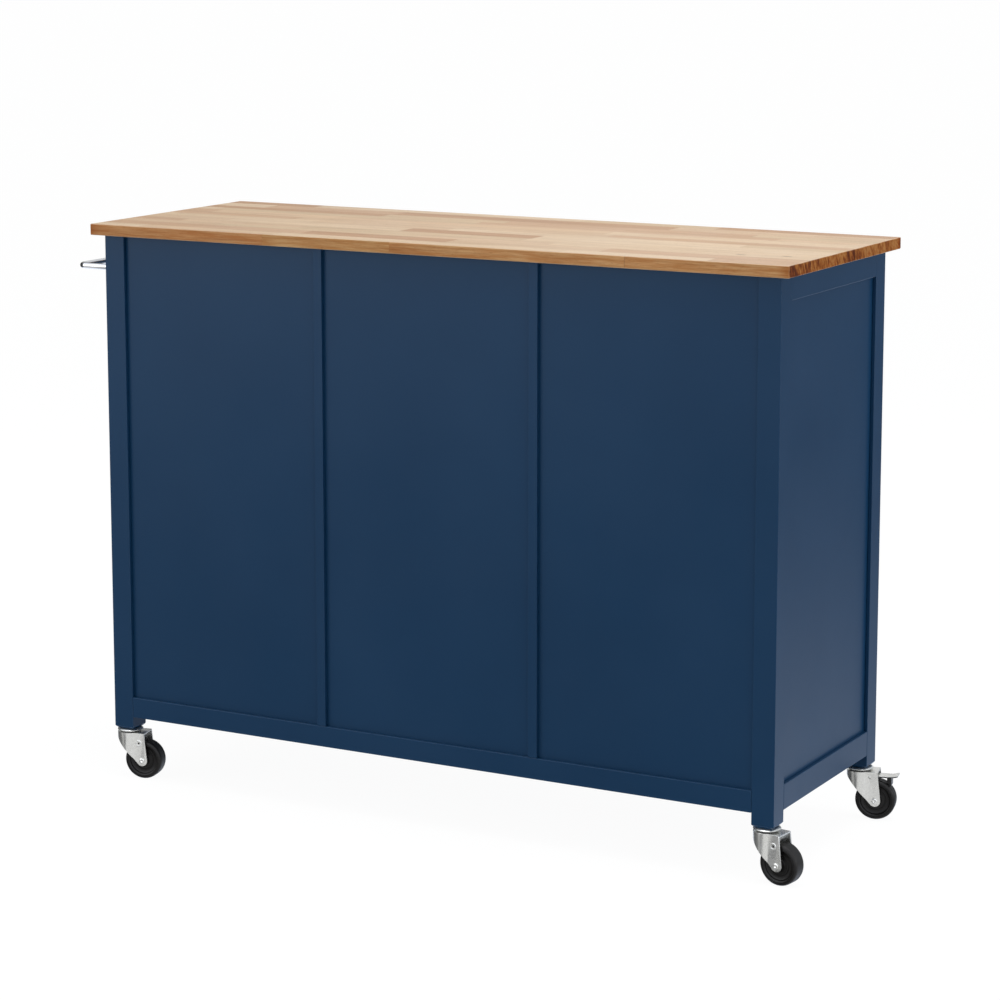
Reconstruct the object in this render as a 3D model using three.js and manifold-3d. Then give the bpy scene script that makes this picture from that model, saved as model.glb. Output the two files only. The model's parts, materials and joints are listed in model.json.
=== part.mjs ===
// A kitchen island cart: a three-bay painted cabinet on four stem casters, with a wooden worktop,
// drawers over doors and an open bay, and a towel bar on its right side.
// Millimetres. +Z is up and the front faces -Y. The origin is on the floor, under the worktop's centre.

import * as THREE from "three";
import { mergeVertices } from "three/addons/utils/BufferGeometryUtils.js";
import Module from "manifold-3d";

const wasm = await Module();
wasm.setup();

// Worktop and cabinet
const worktop = { length: 1208, depth: 433, thickness: 18, height: 914 };
const overhang = { end: 17.3, back: 15.5, front: 18.6 };
const leg = { side: 36, footChamfer: 4 };
const rail = { thickness: 18, aboveFoot: 21.7, height: 33.4, sideHeight: 39, sideTopHeight: 38 };
const backPanel = { thickness: 6, recess: 6.5 };
const sidePanel = { thickness: 12, recess: 6 };
const partition = { thickness: 15 };
const centreBayWidth = 361;
const bottomBoard = { thickness: 15 };
const deck = { thickness: 18, topBelowWorktop: 158 };
const shelf = { thickness: 15, centreHeight: 420, sideHeight: 445, setBack: 32 };

// How the boards meet
const boardGap = 0.3;
const panelGroove = 5;
const shelfGroove = 4;
const grooveFit = 0.3;

// Drawers and doors
const face = { thickness: 18, gap: 2.5 };
const drawer = { height: 112, depth: 340, wall: 12, base: 6, slideGap: 0.6 };
const drawerSideGap = { left: 2.2, centre: 2.5, right: 2.2 };
const door = { frame: 52, frontPocket: 6, rearPocket: 4 };
const doorKnob = { fromEdge: 26, fromTop: 70 };
const knob = { radius: 15, reach: 26, neck: 6, foot: 9, screw: 2, screwHead: 4.5, headDepth: 2.5 };
const knobFit = 0.3;
const hinge = { barrel: 3.5, length: 60, leaf: 0.9, leafDepth: 15, fromEnd: 70, faceGap: 0.3 };

// Towel bar
const towelBar = { radius: 5, reach: 62.2, belowTop: 72.3, bend: 10, bendSteps: 6, socketDepth: 12, fit: 0.3 };

// Stem casters
const caster = { wheelRadius: 31.75, wheelRoom: 11.8, trail: 26 };
const stem = { radius: 5.5, length: 38, flangeRadius: 21, flangeThickness: 3.3, pinRadius: 4 };
const stemHead = { radius: 7, thickness: 1.8 };
const race = { radius: 16.5, thickness: 2.2 };
const fork = { plate: 2.2, noseRadius: 20.7, halfWidth: 17, pastAxle: 4, noseWall: 6, axleEnd: 9 };
const wheel = { treadHalfWidth: 12, corner: 3.5, rimRadius: 24, webHalfWidth: 8.5, hubRadius: 9 };
const axle = { radius: 3, headRadius: 4.6, headThickness: 1.8 };
const runningGap = 0.3;
const hubGap = 0.5;
const pedal = { pivotBack: 18, pivotDrop: 8.2, pin: 2, halfWidth: 10, plate: 2.4, pastAxle: 35, tipRise: 2.5 };
const brakeShoe = { nearAxle: 18, farAxle: 25, clearance: 2.6 };

// Which way each caster trails at rest, in degrees from +X
const trailAngle = { rear_left: 172, rear_right: 192, front_left: 193, front_right: 186 };

const roundSegments = 32;
const smallSegments = 16;

// Levels and faces that several pieces share, casters first, because the legs stand on them
const forkUnder = 2 * caster.wheelRadius + caster.wheelRoom;
const forkTop = forkUnder + fork.plate;
const flangeBottom = forkTop + race.thickness + runningGap;
const flangeTop = flangeBottom + stem.flangeThickness;
const legBottom = flangeTop + boardGap;
const caseTop = worktop.height - worktop.thickness;
const caseHalf = worktop.length / 2 - overhang.end;
const backY = worktop.depth / 2 - overhang.back;
const frontY = -(worktop.depth / 2 - overhang.front);
const legInner = caseHalf - leg.side;
const railBottom = legBottom + rail.aboveFoot;
const railTop = railBottom + rail.height;
const caseInner = caseHalf - sidePanel.recess - sidePanel.thickness;
const backPanelInner = backY - backPanel.recess - backPanel.thickness;
const deckTop = caseTop - deck.topBelowWorktop;
const deckBottom = deckTop - deck.thickness;
const partitionInner = centreBayWidth / 2;
const partitionOuter = partitionInner + partition.thickness;
const crossLap = (frontY + backPanelInner) / 2;
const legCentreX = caseHalf - leg.side / 2;
const rearLegY = backY - leg.side / 2;
const frontLegY = frontY + leg.side / 2;
const faceBack = frontY + face.thickness;

const navyPaint = { color: 0x21406a, roughness: 0.42, metalness: 0 };
const oiledWood = { color: 0xd2a877, roughness: 0.45, metalness: 0 };
const paleWood = { color: 0xd9c39a, roughness: 0.6, metalness: 0 };
const chrome = { color: 0xd8d8da, roughness: 0.12, metalness: 1 };
const zinc = { color: 0xb4b6b8, roughness: 0.35, metalness: 1 };
const blackRubber = { color: 0x1b1b1c, roughness: 0.7, metalness: 0 };

const cart = new THREE.Group();

function nameSide(side) {
  return side < 0 ? "left" : "right";
}

// A range along X on one side of the cart, from a distance near the middle to one further out.
function across(side, near, far) {
  return side < 0 ? [-far, -near] : [near, far];
}

function boxOf([x0, x1], [y0, y1], [z0, z1]) {
  return new THREE.Box3(new THREE.Vector3(x0, y0, z0), new THREE.Vector3(x1, y1, z1));
}

function grown(box, by) {
  return box.clone().expandByScalar(by);
}

function boxGeometry(box) {
  const size = box.getSize(new THREE.Vector3());
  const centre = box.getCenter(new THREE.Vector3());
  return new THREE.BoxGeometry(size.x, size.y, size.z).translate(centre.x, centre.y, centre.z);
}

// A geometry as a solid that can be cut and joined.
function solidOf(geometry) {
  const bare = geometry.clone();
  bare.deleteAttribute("normal");
  bare.deleteAttribute("uv");
  const merged = mergeVertices(bare, 1e-4);
  return new wasm.Manifold(new wasm.Mesh({
    numProp: 3,
    vertProperties: new Float32Array(merged.attributes.position.array),
    triVerts: new Uint32Array(merged.index.array),
  }));
}

function geometryOf(solid) {
  const mesh = solid.getMesh();
  const geometry = new THREE.BufferGeometry();
  geometry.setAttribute("position", new THREE.BufferAttribute(mesh.vertProperties, 3));
  geometry.setIndex(new THREE.BufferAttribute(mesh.triVerts, 1));
  geometry.computeVertexNormals();
  return geometry;
}

function cut(geometry, cutters) {
  const left = cutters.reduce((solid, cutter) => solid.subtract(solidOf(cutter)), solidOf(geometry));
  return geometryOf(left);
}

function join(geometries) {
  return geometryOf(geometries.map(solidOf).reduce((a, b) => a.add(b)));
}

// Adds one named piece. Its geometry is centred on its own box, and its mesh is placed there.
function addPiece(group, name, geometry, look) {
  geometry.computeBoundingBox();
  const centre = geometry.boundingBox.getCenter(new THREE.Vector3());
  geometry.translate(-centre.x, -centre.y, -centre.z);
  const mesh = new THREE.Mesh(geometry, new THREE.MeshStandardMaterial(look));
  mesh.name = name;
  mesh.position.copy(centre);
  group.add(mesh);
  return mesh;
}

function addBoard(group, name, box, look, cutBoxes = []) {
  const board = boxGeometry(box);
  const cutters = cutBoxes.filter((other) => other.intersectsBox(box)).map(boxGeometry);
  addPiece(group, name, cutters.length ? cut(board, cutters) : board, look);
}

// A round shape from [radius, height] points, turned about Z.
function turned(points, segments) {
  const profile = points.map(([radius, height]) => new THREE.Vector2(radius, height));
  return new THREE.LatheGeometry(profile, segments).rotateX(Math.PI / 2);
}

function rod(radius, length, segments = smallSegments) {
  return new THREE.CylinderGeometry(radius, radius, length, segments);
}

// Boards, as boxes, before anything is cut

const worktopBox = boxOf(
  [-worktop.length / 2, worktop.length / 2],
  [-worktop.depth / 2, worktop.depth / 2],
  [caseTop, worktop.height],
);

const legRows = {
  rear: [backY - leg.side, backY],
  front: [frontY, frontY + leg.side],
};

const legBoxes = {};
for (const [row, depth] of Object.entries(legRows)) {
  for (const side of [-1, 1]) {
    const across36 = across(side, legInner, caseHalf);
    legBoxes[`${row}_${nameSide(side)}`] = boxOf(across36, depth, [legBottom, caseTop - boardGap]);
  }
}
const betweenLegs = [frontY + leg.side + boardGap, backY - leg.side - boardGap];

const backPanelBox = (x0, x1) => boxOf(
  [x0 - panelGroove + grooveFit, x1 + panelGroove - grooveFit],
  [backPanelInner, backPanelInner + backPanel.thickness],
  [railTop - panelGroove + grooveFit, caseTop - boardGap],
);
const backPanelBoxes = {
  left: backPanelBox(-legInner, -partitionOuter),
  centre: backPanelBox(-partitionInner, partitionInner),
  right: backPanelBox(partitionOuter, legInner),
};

const sidePanelBoxes = {};
const partitionBoxes = {};
const sideShelfBoxes = {};
for (const side of [-1, 1]) {
  sidePanelBoxes[nameSide(side)] = boxOf(
    across(side, caseInner, caseInner + sidePanel.thickness),
    [frontY + leg.side - panelGroove + grooveFit, backY - leg.side + panelGroove - grooveFit],
    [
      railBottom + rail.sideHeight - panelGroove + grooveFit,
      caseTop - rail.sideTopHeight + panelGroove - grooveFit,
    ],
  );
  partitionBoxes[nameSide(side)] = boxOf(
    across(side, partitionInner, partitionOuter),
    [frontY, backY],
    [railTop + boardGap, caseTop - boardGap],
  );
  sideShelfBoxes[nameSide(side)] = boxOf(
    across(side, partitionOuter - shelfGroove + grooveFit, caseInner + shelfGroove - grooveFit),
    [frontY + shelf.setBack, backPanelInner - boardGap],
    [shelf.sideHeight - shelf.thickness, shelf.sideHeight],
  );
}

const centreShelfBox = boxOf(
  [-partitionInner - shelfGroove + grooveFit, partitionInner + shelfGroove - grooveFit],
  [frontY + shelf.setBack, backPanelInner - boardGap],
  [shelf.centreHeight - shelf.thickness, shelf.centreHeight],
);

const deckBox = boxOf(
  [-caseInner + boardGap, caseInner - boardGap],
  [frontY, backPanelInner - boardGap],
  [deckBottom, deckTop],
);

const grownLegs = Object.values(legBoxes).map((box) => grown(box, boardGap));
const panelSlots = Object.values(backPanelBoxes).map((box) => grown(box, grooveFit));
const sidePanelSlots = Object.values(sidePanelBoxes).map((box) => grown(box, grooveFit));
const sideShelfSlots = Object.values(sideShelfBoxes).map((box) => grown(box, grooveFit));
const centreShelfSlot = grown(centreShelfBox, grooveFit);

function addCabinet() {
  addPiece(cart, "worktop", boxGeometry(worktopBox), oiledWood);

  for (const [name, box] of Object.entries(legBoxes)) {
    addLeg(name, box);
  }

  for (const [name, box] of Object.entries(backPanelBoxes)) {
    addBoard(cart, `back_panel_${name}`, box, navyPaint);
  }

  const railWidth = [-legInner + boardGap, legInner - boardGap];
  const railLevel = [railBottom, railTop];
  const rearRailBox = boxOf(railWidth, [backY - rail.thickness, backY], railLevel);
  addBoard(cart, "rear_bottom_rail", rearRailBox, navyPaint, panelSlots);
  const frontRailBox = boxOf(railWidth, [frontY, frontY + rail.thickness], railLevel);
  addBoard(cart, "front_bottom_rail", frontRailBox, navyPaint);

  for (const side of [-1, 1]) {
    const name = nameSide(side);
    const railAcross = across(side, caseHalf - rail.thickness, caseHalf);
    const low = boxOf(railAcross, betweenLegs, [railBottom, railBottom + rail.sideHeight]);
    const high = boxOf(railAcross, betweenLegs, [caseTop - rail.sideTopHeight, caseTop - boardGap]);
    addBoard(cart, `side_bottom_rail_${name}`, low, navyPaint, sidePanelSlots);
    addBoard(cart, `side_top_rail_${name}`, high, navyPaint, sidePanelSlots);
    addBoard(cart, `side_panel_${name}`, sidePanelBoxes[name], navyPaint, sideShelfSlots);
  }

  const bottomBox = boxOf(
    [-caseHalf + rail.thickness + boardGap, caseHalf - rail.thickness - boardGap],
    [frontY + rail.thickness + boardGap, backY - rail.thickness - boardGap],
    [railTop - bottomBoard.thickness, railTop],
  );
  addBoard(cart, "bottom_board", bottomBox, navyPaint, grownLegs);

  // The deck and the partitions are halved into each other: the deck's front half runs through.
  const frontHalf = grown(deckBox, boardGap);
  frontHalf.max.y = crossLap + boardGap;
  const partitionCuts = [...panelSlots, ...sideShelfSlots, centreShelfSlot, frontHalf];
  const rearHalves = [];
  for (const [name, box] of Object.entries(partitionBoxes)) {
    addBoard(cart, `partition_${name}`, box, navyPaint, partitionCuts);
    const rearHalf = grown(box, boardGap);
    rearHalf.min.y = crossLap;
    rearHalves.push(rearHalf);
  }
  addBoard(cart, "drawer_deck", deckBox, navyPaint, [...grownLegs, ...rearHalves]);

  for (const [name, box] of Object.entries(sideShelfBoxes)) {
    addBoard(cart, `shelf_${name}`, box, navyPaint, grownLegs);
  }
  addBoard(cart, "shelf_centre", centreShelfBox, navyPaint);
}

// A leg is square, with its foot's edges chamfered, grooves for the panels and a bore for its caster.
function addLeg(name, box) {
  const centre = box.getCenter(new THREE.Vector3());
  const half = leg.side / 2;
  const outline = new THREE.Shape()
    .moveTo(-half, -half)
    .lineTo(half, -half)
    .lineTo(half, half)
    .lineTo(-half, half)
    .closePath();
  const pointed = new THREE.ExtrudeGeometry(outline, {
    depth: caseTop - legBottom,
    bevelSegments: 1,
    bevelThickness: leg.footChamfer,
    bevelSize: leg.footChamfer,
    bevelOffset: -leg.footChamfer,
  }).translate(centre.x, centre.y, legBottom + leg.footChamfer);

  const stemBore = rod(stem.radius + runningGap, 2 * (stem.length + 2))
    .rotateX(Math.PI / 2)
    .translate(centre.x, centre.y, legBottom);
  const slots = [...panelSlots, ...sidePanelSlots]
    .filter((slot) => slot.intersectsBox(box))
    .map(boxGeometry);
  const cutters = [stemBore, ...slots];
  if (centre.x > 0) {
    const socket = rod(towelBar.radius + towelBar.fit, 2 * (towelBar.socketDepth + 1))
      .rotateZ(Math.PI / 2)
      .translate(caseHalf, centre.y, worktop.height - towelBar.belowTop);
    cutters.push(socket);
  }
  const square = solidOf(boxGeometry(box)).intersect(solidOf(pointed));
  addPiece(cart, `leg_${name}`, cut(geometryOf(square), cutters), navyPaint);
}

// Towel bar: one round bar bent to a U, its two ends held in sockets in the right-hand legs.

// A path of straight steps between given points. The section is placed at each point, however far
// apart they are, so a long straight costs one step.
class PointPath extends THREE.Curve {
  constructor(points) {
    super();
    this.points = points;
  }

  getUtoTmapping(share) {
    return share;
  }

  getPoint(t, target = new THREE.Vector3()) {
    const place = t * (this.points.length - 1);
    const step = Math.min(Math.floor(place), this.points.length - 2);
    return target.lerpVectors(this.points[step], this.points[step + 1], place - step);
  }
}

function addTowelBar() {
  const level = worktop.height - towelBar.belowTop;
  const barX = caseHalf + towelBar.reach;
  const bendX = barX - towelBar.bend;
  const armStart = caseHalf - towelBar.socketDepth;
  const points = [new THREE.Vector3(armStart, rearLegY, level)];
  const bends = [
    { centreY: rearLegY - towelBar.bend, start: Math.PI / 2 },
    { centreY: frontLegY + towelBar.bend, start: 0 },
  ];
  for (const { centreY, start } of bends) {
    for (let step = 0; step <= towelBar.bendSteps; step += 1) {
      const angle = start - ((step / towelBar.bendSteps) * Math.PI) / 2;
      const x = bendX + towelBar.bend * Math.cos(angle);
      const y = centreY + towelBar.bend * Math.sin(angle);
      points.push(new THREE.Vector3(x, y, level));
    }
  }
  points.push(new THREE.Vector3(armStart, frontLegY, level));
  const section = new THREE.Shape().absarc(0, 0, towelBar.radius, 0, 2 * Math.PI);
  const bar = new THREE.ExtrudeGeometry(section, {
    steps: points.length - 1,
    curveSegments: smallSegments / 2,
    extrudePath: new PointPath(points),
  });
  addPiece(cart, "towel_bar", bar, chrome);
}

// Knob: a turned pull, with the machine screw that holds it from behind.
function knobGeometry(grip) {
  const clamped = grip + knobFit;
  const neckRise = 0.38 * knob.reach;
  const profile = [
    [0, knob.reach],
    [0.55 * knob.radius, knob.reach - 0.6],
    [0.88 * knob.radius, knob.reach - 3],
    [knob.radius, knob.reach - 7],
    [0.9 * knob.radius, knob.reach - 10],
    [knob.neck, neckRise],
    [knob.neck, 4],
    [knob.foot, 1.5],
    [knob.foot, knobFit],
    [knob.screw, knobFit],
    [knob.screw, -clamped],
    [knob.screwHead, -clamped],
    [knob.screwHead, -clamped - knob.headDepth],
    [0, -clamped - knob.headDepth],
  ];
  return turned(profile.reverse(), smallSegments).rotateX(Math.PI / 2);
}

function screwHole(x, z, grip) {
  return rod(knob.screw + knobFit, 2 * (grip + 1)).translate(x, frontY, z);
}

// A drawer: an open box and, in front of it, a flat face that sits flush in its opening.
function addDrawer(name, [openLeft, openRight]) {
  const group = new THREE.Group();
  const middle = (openLeft + openRight) / 2;
  const faceBottom = deckTop + face.gap;
  const faceTop = caseTop - face.gap;
  const knobZ = (faceBottom + faceTop) / 2;
  const grip = face.thickness + boardGap + drawer.wall;
  const hole = screwHole(middle, knobZ, grip);

  const front = boxOf(
    [openLeft + face.gap, openRight - face.gap],
    [frontY, faceBack],
    [faceBottom, faceTop],
  );
  addPiece(group, `drawer_front_${name}`, cut(boxGeometry(front), [hole]), navyPaint);

  const boxFront = faceBack + boardGap;
  const boxBottom = deckTop + drawer.slideGap;
  const outside = boxOf(
    [openLeft + drawerSideGap[name], openRight - drawerSideGap[name]],
    [boxFront, boxFront + drawer.depth],
    [boxBottom, boxBottom + drawer.height],
  );
  const inside = grown(outside, -drawer.wall);
  inside.min.z = boxBottom + drawer.base;
  inside.max.z = outside.max.z + 1;
  addPiece(group, `drawer_box_${name}`, cut(boxGeometry(outside), [boxGeometry(inside), hole]), paleWood);

  const pull = knobGeometry(grip).translate(middle, frontY, knobZ);
  addPiece(group, `drawer_knob_${name}`, pull, zinc);
  cart.add(group);
}

// A door: a frame round a thinner panel, hung on two butt hinges at the leg.
function addDoor(side) {
  const name = nameSide(side);
  const group = new THREE.Group();
  const outside = boxOf(
    across(side, partitionOuter + face.gap, legInner - face.gap),
    [frontY, faceBack],
    [railTop + face.gap, deckBottom - face.gap],
  );
  const pocket = grown(outside, -door.frame);
  const frontPocket = pocket.clone();
  frontPocket.min.y = frontY - 1;
  frontPocket.max.y = frontY + door.frontPocket;
  const rearPocket = pocket.clone();
  rearPocket.min.y = faceBack - door.rearPocket;
  rearPocket.max.y = faceBack + 1;

  const knobX = side * (partitionOuter + face.gap + doorKnob.fromEdge);
  const knobZ = outside.max.z - doorKnob.fromTop;
  const cutters = [boxGeometry(frontPocket), boxGeometry(rearPocket)];
  cutters.push(screwHole(knobX, knobZ, face.thickness));
  addPiece(group, `door_${name}`, cut(boxGeometry(outside), cutters), navyPaint);
  const pull = knobGeometry(face.thickness).translate(knobX, frontY, knobZ);
  addPiece(group, `door_knob_${name}`, pull, zinc);
  cart.add(group);

  const low = outside.min.z + hinge.fromEnd;
  const high = outside.max.z - hinge.fromEnd;
  addHinge(`hinge_lower_${name}`, side, low);
  addHinge(`hinge_upper_${name}`, side, high);
}

// The half of a butt hinge that is screwed to the leg, with the barrel the door turns about.
function addHinge(name, side, z) {
  const axisX = side * (legInner - face.gap / 2);
  const axisY = frontY - hinge.faceGap - hinge.barrel;
  const barrel = rod(hinge.barrel, hinge.length).rotateX(Math.PI / 2).translate(axisX, axisY, z);
  const leaf = boxOf(
    across(side, legInner - boardGap - hinge.leaf, legInner - boardGap),
    [axisY, frontY + hinge.leafDepth],
    [z - hinge.length / 2, z + hinge.length / 2],
  );
  addPiece(cart, name, join([barrel, boxGeometry(leaf)]), zinc);
}

// Casters. Each is modelled with its swivel axis on Z and its wheel trailing along +X.

const forkInnerHalf = fork.halfWidth - fork.plate;
const hubHalfWidth = forkInnerHalf - hubGap;
const forkBack = caster.trail + fork.pastAxle;
const pivotZ = forkTop - pedal.pivotDrop;

function stemGeometry() {
  const headTop = forkUnder - runningGap;
  const profile = [
    [0, headTop - stemHead.thickness],
    [stemHead.radius, headTop - stemHead.thickness],
    [stemHead.radius, headTop],
    [stem.pinRadius, headTop],
    [stem.pinRadius, flangeBottom],
    [stem.flangeRadius - 1, flangeBottom],
    [stem.flangeRadius, flangeBottom + 1],
    [stem.flangeRadius - 1.4, flangeTop],
    [stem.radius, flangeTop],
    [stem.radius, flangeTop + stem.length - 2],
    [stem.radius - 2, flangeTop + stem.length],
    [0, flangeTop + stem.length],
  ];
  return turned(profile, roundSegments);
}

// The tangent point of a circle, as an angle about its centre, seen from a point outside it.
function tangentAngle(centre, radius, from, turn) {
  const dx = from[0] - centre[0];
  const dz = from[1] - centre[1];
  return Math.atan2(dz, dx) + turn * Math.acos(radius / Math.hypot(dx, dz));
}

// A shape drawn in X and Z, as a solid across Y.
function acrossY(shape, halfWidth) {
  return new THREE.ExtrudeGeometry(shape, { depth: 2 * halfWidth, bevelEnabled: false, curveSegments: 6 })
    .rotateX(Math.PI / 2)
    .translate(0, halfWidth, 0);
}

// The fork seen from above: a round nose with straight cheeks behind it.
function forkPlan(shrink, back, bottom, top) {
  const nose = rod(fork.noseRadius - shrink, top - bottom, roundSegments)
    .rotateX(Math.PI / 2)
    .translate(0, 0, (top + bottom) / 2);
  const half = fork.halfWidth - shrink;
  const cheeks = boxGeometry(boxOf([0, back], [-half, half], [bottom, top]));
  return solidOf(nose).add(solidOf(cheeks));
}

function forkGeometry(hasBrake) {
  const axlePoint = [caster.trail, caster.wheelRadius];
  const noseFoot = [-fork.noseRadius - 1, forkTop - fork.noseWall];
  const rearTop = [forkBack, forkTop];
  const side = new THREE.Shape()
    .moveTo(noseFoot[0], forkTop)
    .lineTo(...noseFoot)
    .absarc(
      ...axlePoint,
      fork.axleEnd,
      tangentAngle(axlePoint, fork.axleEnd, noseFoot, 1),
      tangentAngle(axlePoint, fork.axleEnd, rearTop, -1) + 2 * Math.PI,
    )
    .lineTo(...rearTop)
    .closePath();
  const shell = forkPlan(0, 2 * forkBack, 0, forkTop)
    .subtract(forkPlan(fork.plate, 3 * forkBack, -1, forkUnder))
    .intersect(solidOf(acrossY(side, 2 * fork.halfWidth)));

  const raceRing = rod(race.radius, 2 * race.thickness, roundSegments)
    .rotateX(Math.PI / 2)
    .translate(0, 0, forkTop);
  const aboveUnder = boxGeometry(boxOf([-99, 99], [-99, 99], [forkTop - 1, forkTop + race.thickness]));
  const ring = solidOf(raceRing).intersect(solidOf(aboveUnder));
  const pinBore = rod(stem.pinRadius + runningGap, 40).rotateX(Math.PI / 2).translate(0, 0, forkTop);
  const axleBore = rod(axle.radius + runningGap, 99).translate(caster.trail, 0, caster.wheelRadius);
  let solid = shell.add(ring).subtract(solidOf(pinBore)).subtract(solidOf(axleBore));
  if (hasBrake) {
    const pivotBore = rod(pedal.pin + runningGap, 99).translate(pedal.pivotBack, 0, pivotZ);
    solid = solid.subtract(solidOf(pivotBore));
  }
  return geometryOf(solid);
}

function wheelGeometry() {
  const { wheelRadius: outer } = caster;
  const bore = axle.radius + runningGap;
  const tread = wheel.treadHalfWidth;
  const half = [
    [bore, hubHalfWidth],
    [wheel.hubRadius - 1, hubHalfWidth],
    [wheel.hubRadius, hubHalfWidth - 1],
    [wheel.hubRadius + 1, wheel.webHalfWidth],
    [wheel.rimRadius - 2, wheel.webHalfWidth],
    [wheel.rimRadius, tread],
    [outer - wheel.corner, tread],
  ];
  for (let step = 1; step <= 3; step += 1) {
    const angle = (step / 3) * (Math.PI / 2);
    half.push([
      outer - wheel.corner + wheel.corner * Math.sin(angle),
      tread - wheel.corner + wheel.corner * Math.cos(angle),
    ]);
  }
  const mirrored = half.map(([radius, along]) => [radius, -along]).reverse();
  const profile = [...half, ...mirrored, half[0]].reverse();
  return turned(profile, roundSegments).rotateX(Math.PI / 2).translate(caster.trail, 0, outer);
}

function axleGeometry() {
  const inner = fork.halfWidth + runningGap;
  const outer = inner + axle.headThickness;
  const profile = [
    [0, -outer],
    [axle.headRadius - 0.8, -outer],
    [axle.headRadius, -outer + 0.8],
    [axle.headRadius, -inner],
    [axle.radius, -inner],
    [axle.radius, inner],
    [axle.headRadius, inner],
    [axle.headRadius, outer - 0.8],
    [axle.headRadius - 0.8, outer],
    [0, outer],
  ];
  return turned(profile, smallSegments).rotateX(Math.PI / 2).translate(caster.trail, 0, caster.wheelRadius);
}

// The foot brake: a lever across the fork with a shoe over the wheel. Down presses the shoe on.
function pedalGeometry() {
  const shoeRadius = caster.wheelRadius + brakeShoe.clearance;
  const shoeFront = caster.trail + brakeShoe.nearAxle;
  const shoeBack = caster.trail + brakeShoe.farAxle;
  const tipX = caster.trail + pedal.pastAxle;
  const under = pivotZ - pedal.plate / 2;
  const over = pivotZ + pedal.plate / 2;
  const tipZ = under + pedal.tipRise;
  const shape = new THREE.Shape()
    .moveTo(pedal.pivotBack - 4, under)
    .lineTo(shoeFront, under)
    .absarc(
      caster.trail,
      caster.wheelRadius,
      shoeRadius,
      Math.acos(brakeShoe.nearAxle / shoeRadius),
      Math.acos(brakeShoe.farAxle / shoeRadius),
      true,
    )
    .lineTo(shoeBack, under)
    .lineTo(tipX, tipZ)
    .lineTo(tipX, tipZ + pedal.plate)
    .lineTo(shoeBack, over)
    .lineTo(pedal.pivotBack - 4, over)
    .closePath();
  const pin = rod(pedal.pin, 2 * (fork.halfWidth - 0.5)).translate(pedal.pivotBack, 0, pivotZ);
  return join([acrossY(shape, pedal.halfWidth), pin]);
}

function addCaster(name, x, y) {
  const hasBrake = name.startsWith("front");
  const fixed = new THREE.Group();
  fixed.position.set(x, y, 0);
  addPiece(fixed, `caster_stem_${name}`, stemGeometry(), zinc);

  const swivel = new THREE.Group();
  swivel.rotation.z = THREE.MathUtils.degToRad(trailAngle[name]);
  addPiece(swivel, `caster_fork_${name}`, forkGeometry(hasBrake), zinc);
  addPiece(swivel, `caster_wheel_${name}`, wheelGeometry(), blackRubber);
  addPiece(swivel, `caster_axle_${name}`, axleGeometry(), zinc);
  if (hasBrake) {
    addPiece(swivel, `brake_pedal_${name}`, pedalGeometry(), zinc);
  }
  fixed.add(swivel);
  cart.add(fixed);
}

addCabinet();
addTowelBar();
addDrawer("left", [-legInner, -partitionOuter]);
addDrawer("centre", [-partitionInner, partitionInner]);
addDrawer("right", [partitionOuter, legInner]);
for (const side of [-1, 1]) {
  addDoor(side);
  addCaster(`rear_${nameSide(side)}`, side * legCentreX, rearLegY);
  addCaster(`front_${nameSide(side)}`, side * legCentreX, frontLegY);
}

export default cart;
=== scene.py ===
import json
import math

import bmesh
import bpy
from mathutils import Matrix, Vector

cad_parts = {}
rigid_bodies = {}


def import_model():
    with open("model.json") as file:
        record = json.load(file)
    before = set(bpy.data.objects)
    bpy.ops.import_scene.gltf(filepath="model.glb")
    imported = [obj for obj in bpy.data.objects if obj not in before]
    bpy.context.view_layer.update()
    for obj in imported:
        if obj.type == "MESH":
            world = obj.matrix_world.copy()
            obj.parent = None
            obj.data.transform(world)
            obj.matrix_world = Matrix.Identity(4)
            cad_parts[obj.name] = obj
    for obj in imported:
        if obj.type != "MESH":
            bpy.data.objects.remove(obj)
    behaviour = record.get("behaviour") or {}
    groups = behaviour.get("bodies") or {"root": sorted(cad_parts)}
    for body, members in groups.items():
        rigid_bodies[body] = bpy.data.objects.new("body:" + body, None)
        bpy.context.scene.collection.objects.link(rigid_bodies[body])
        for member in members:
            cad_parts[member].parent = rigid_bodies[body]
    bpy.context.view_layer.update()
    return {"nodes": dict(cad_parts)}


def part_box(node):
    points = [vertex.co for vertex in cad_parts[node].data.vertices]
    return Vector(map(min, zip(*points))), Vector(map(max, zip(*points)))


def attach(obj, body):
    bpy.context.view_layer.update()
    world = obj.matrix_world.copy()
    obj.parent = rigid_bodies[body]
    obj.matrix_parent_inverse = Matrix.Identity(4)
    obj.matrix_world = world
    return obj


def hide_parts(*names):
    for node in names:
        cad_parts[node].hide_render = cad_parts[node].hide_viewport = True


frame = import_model()
mm = 0.001
corners = ("rear_left", "rear_right", "front_left", "front_right")
print("frame loaded:", len(frame["nodes"]), "nodes")

camera = {
    "place": (-2.2601, 4.0998, 1.4087),
    "pitch": 80.737,        # degrees up from straight down
    "turn": -151.38,        # degrees about the vertical
    "lens": 108.28,
    "shiftDown": -0.10,
}


def addCamera(values):
    data = bpy.data.cameras.new("camera")
    data.lens = values["lens"]
    data.sensor_width = 36
    data.shift_y = values["shiftDown"]
    data.clip_start = 0.05
    data.clip_end = 200
    eye = bpy.data.objects.new("camera", data)
    eye.location = values["place"]
    eye.rotation_euler = (math.radians(values["pitch"]), 0, math.radians(values["turn"]))
    bpy.context.scene.collection.objects.link(eye)
    bpy.context.scene.camera = eye


addCamera(camera)


def feed(tree, socket, value):
    if isinstance(value, bpy.types.NodeSocket):
        tree.links.new(value, socket)
    else:
        socket.default_value = value


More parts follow.
